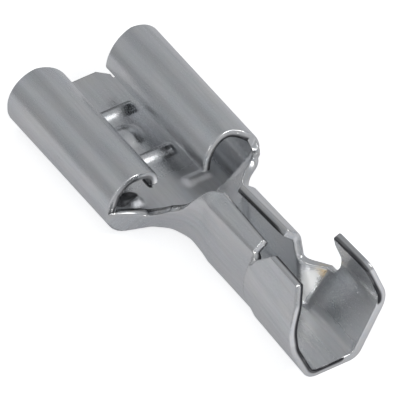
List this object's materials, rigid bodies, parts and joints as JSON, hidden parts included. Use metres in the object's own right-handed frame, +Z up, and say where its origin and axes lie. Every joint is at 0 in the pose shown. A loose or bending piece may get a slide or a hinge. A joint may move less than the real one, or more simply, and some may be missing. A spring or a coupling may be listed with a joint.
{
  "type": "female spade terminal",
  "caption": "Folded sheet terminal with a flat socket between two rolls, an open wire barrel and an open insulation barrel with staggered wings.",
  "frame": {"origin": "middle of the flat underside, at half the overall length and half the width", "axes": "+X along the terminal from the tab's mouth to the tail, +Y across it, +Z up, away from the flat underside"},
  "size_m": [0.0202, 0.0076, 0.005],
  "materials": {
    "tin_plate": "satin tin plating on rolled sheet"
  },
  "bodies": {
    "root": {"terminal": "tin_plate"}
  },
  "joints": []
}
